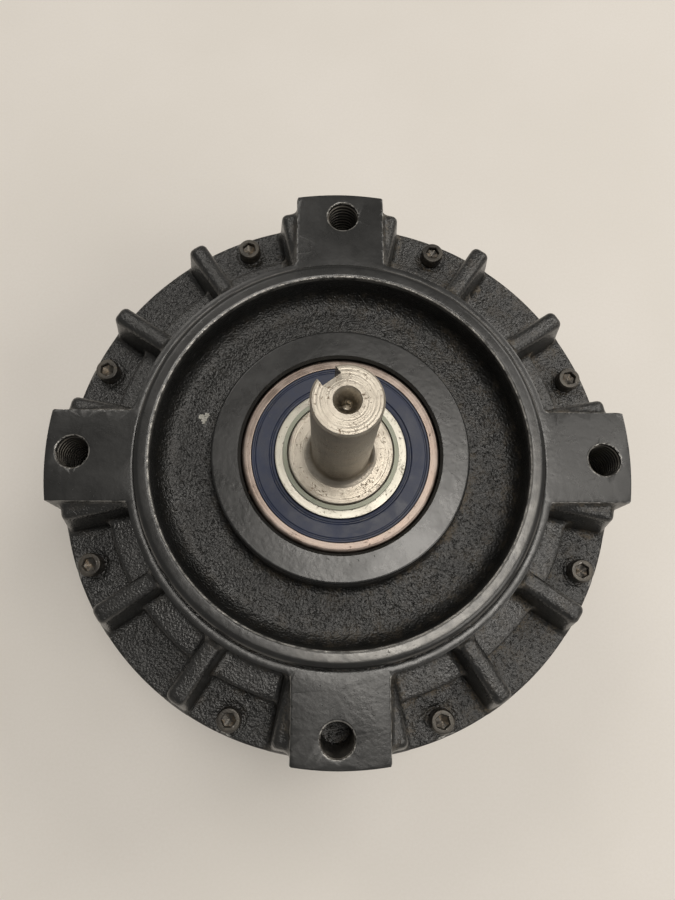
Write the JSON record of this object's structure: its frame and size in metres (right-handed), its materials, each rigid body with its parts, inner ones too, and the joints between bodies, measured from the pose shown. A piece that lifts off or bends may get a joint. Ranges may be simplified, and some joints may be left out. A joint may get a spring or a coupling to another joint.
{
  "type": "electromagnetic clutch",
  "caption": "Flange-mounted electromagnetic clutch module: ribbed black cast housing, hollow input rotor, keyed output shaft in sealed bearings, and a conduit box.",
  "frame": {"origin": "centre of the motor-side mounting face, on the shaft axis", "axes": "+Z along the shaft, from the motor side to the output shaft's tip; +X through one pair of bolt holes, +Y through the other; the conduit box lies between +X and +Y"},
  "size_m": [0.1664, 0.1668, 0.1539],
  "materials": {
    "housing_paint": "semi-gloss black enamel over sand casting",
    "gasket": "pressed fibre gasket sheet",
    "black_oxide": "black oxide with worn edges",
    "zinc_steel": "bright zinc plate",
    "tarnished_ring": "ground steel with a brownish tarnish",
    "bearing_steel": "ground steel",
    "blue_seal": "dark blue moulded rubber",
    "ball_steel": "polished",
    "cage_steel": "pressed sheet",
    "ring_steel": "grey-green phosphate",
    "shaft_steel": "turned and ground, slightly oiled",
    "machined_steel": "turned",
    "spring_steel": "blued strip",
    "friction_lining": "moulded friction lining",
    "bobbin_plastic": "natural nylon",
    "copper_winding": "enamelled copper wire",
    "terminal_plastic": "phenolic moulding",
    "terminal_brass": "plain brass",
    "grommet_rubber": "moulded rubber",
    "wire_insulation": "insulated lead"
  },
  "bodies": {
    "housing": {"output_housing": "housing_paint", "input_housing": "housing_paint", "housing_gasket": "gasket", "housing_screws": "black_oxide", "field_screws": "zinc_steel", "output_bearing_outer_ring": "tarnished_ring", "output_bearing_seals": "blue_seal", "rear_bearing_outer_ring": "bearing_steel", "rear_bearing_seals": "blue_seal", "input_bearing_outer_ring": "bearing_steel", "input_bearing_seals": "blue_seal", "input_bearing_retaining_ring": "ring_steel", "field_shell": "machined_steel", "coil_bobbin": "bobbin_plastic", "coil_winding": "copper_winding", "conduit_box": "housing_paint", "conduit_gasket": "gasket", "conduit_cover": "housing_paint", "conduit_cover_screws": "zinc_steel", "conduit_box_screws": "zinc_steel", "terminal_block": "terminal_plastic", "terminal_screws": "terminal_brass", "wire_grommet": "grommet_rubber", "lead_wires": "wire_insulation"},
    "output_shaft": {"output_shaft": "shaft_steel", "shaft_retaining_ring": "ring_steel", "output_bearing_inner_ring": "bearing_steel", "rear_bearing_inner_ring": "bearing_steel", "bearing_spacer": "bearing_steel", "armature_hub": "machined_steel", "hub_key": "machined_steel", "hub_retaining_ring": "ring_steel", "hub_rivets": "machined_steel", "release_springs": "spring_steel"},
    "armature": {"armature_plate": "machined_steel", "armature_rivets": "machined_steel"},
    "input_rotor": {"rotor_hub": "machined_steel", "rotor_disc": "machined_steel", "rotor_screws": "zinc_steel", "friction_ring": "friction_lining", "rotor_retaining_ring": "ring_steel", "input_bearing_inner_ring": "bearing_steel"},
    "output_bearing_cage": {"output_bearing_balls": "ball_steel", "output_bearing_cage": "cage_steel"},
    "rear_bearing_cage": {"rear_bearing_balls": "ball_steel", "rear_bearing_cage": "cage_steel"},
    "input_bearing_cage": {"input_bearing_balls": "ball_steel", "input_bearing_cage": "cage_steel"}
  },
  "joints": [
    {"name": "output_spin", "type": "hinge", "parent": "housing", "child": "output_shaft", "pos_m": [0, 0, 0.1016], "axis": [0, 0, 1], "continuous": true},
    {"name": "armature_engage", "type": "slide", "parent": "output_shaft", "child": "armature", "axis": [0, 0, -1], "range_m": [0, 0.0007], "stiffness_N_per_m": 8000, "springref_m": -0.001, "deforming": ["release_springs"]},
    {"name": "rotor_spin", "type": "hinge", "parent": "housing", "child": "input_rotor", "pos_m": [0, 0, 0.014], "axis": [0, 0, 1], "continuous": true},
    {"name": "output_cage_spin", "type": "hinge", "parent": "housing", "child": "output_bearing_cage", "pos_m": [0, 0, 0.0983], "axis": [0, 0, 1], "continuous": true},
    {"name": "rear_cage_spin", "type": "hinge", "parent": "housing", "child": "rear_bearing_cage", "pos_m": [0, 0, 0.0803], "axis": [0, 0, 1], "continuous": true},
    {"name": "input_cage_spin", "type": "hinge", "parent": "housing", "child": "input_bearing_cage", "pos_m": [0, 0, 0.014], "axis": [0, 0, 1], "continuous": true}
  ],
  "couplings": [
    {"joint": "output_cage_spin", "follows": "output_spin", "ratio": 0.4082},
    {"joint": "rear_cage_spin", "follows": "output_spin", "ratio": 0.4082},
    {"joint": "input_cage_spin", "follows": "rotor_spin", "ratio": 0.4014}
  ]
}
